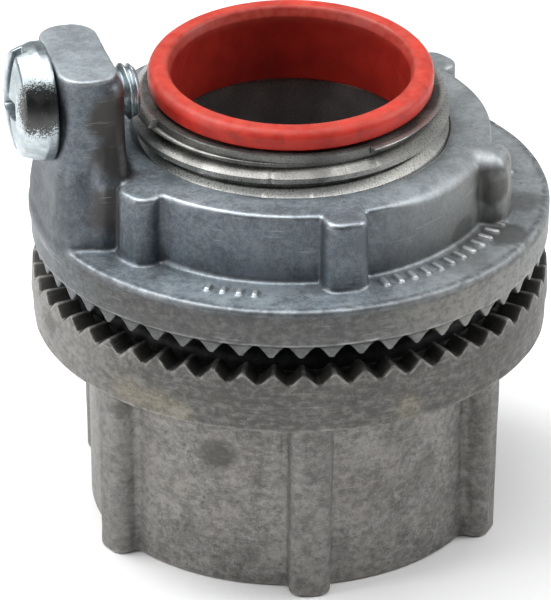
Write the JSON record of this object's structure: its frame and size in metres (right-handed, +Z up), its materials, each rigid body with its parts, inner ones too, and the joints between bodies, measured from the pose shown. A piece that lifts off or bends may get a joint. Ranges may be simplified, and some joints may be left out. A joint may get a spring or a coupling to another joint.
{
  "type": "toothed conduit hub with grounding locknut",
  "caption": "Die-cast wall hub for threaded conduit with ribbed barrel, toothed flange, threaded nipple, insulated throat, grounding locknut and ground screw.",
  "frame": {"origin": "centre of the conduit end's flat face, on the bore's axis, where the conduit enters", "axes": "+Z up the bore from the conduit end to the insulated throat; -Y is the front, and the ground screw lug stands 75 degrees from the front towards -X"},
  "size_m": [0.0458, 0.0438, 0.0448],
  "materials": {
    "hub_zinc": "matte",
    "nut_zinc": "satin",
    "red_plastic": "satin",
    "seal_rubber": "matte",
    "plated_steel": "satin"
  },
  "bodies": {
    "hub": {"hub_body": "hub_zinc", "insulating_throat": "red_plastic"},
    "wall_seal": {"sealing_ring": "seal_rubber"},
    "locknut": {"grounding_locknut": "nut_zinc"},
    "screw": {"ground_screw": "plated_steel"}
  },
  "joints": [
    {"name": "seal_turn", "type": "hinge", "parent": "hub", "child": "wall_seal", "pos_m": [0, 0, 0.02165], "axis": [0, 0, 1], "range_deg": [-180, 1710]},
    {"name": "locknut_travel", "type": "slide", "parent": "wall_seal", "child": "locknut", "axis": [0, 0, 1], "range_m": [-0.00092, 0.00864]},
    {"name": "ground_screw_travel", "type": "slide", "parent": "locknut", "child": "screw", "axis": [-0.9659, -0.2588, 0], "range_m": [0, 0.005]}
  ],
  "couplings": [
    {"joint": "locknut_travel", "follows": "seal_turn", "m_per_rad": 0.00028875}
  ]
}
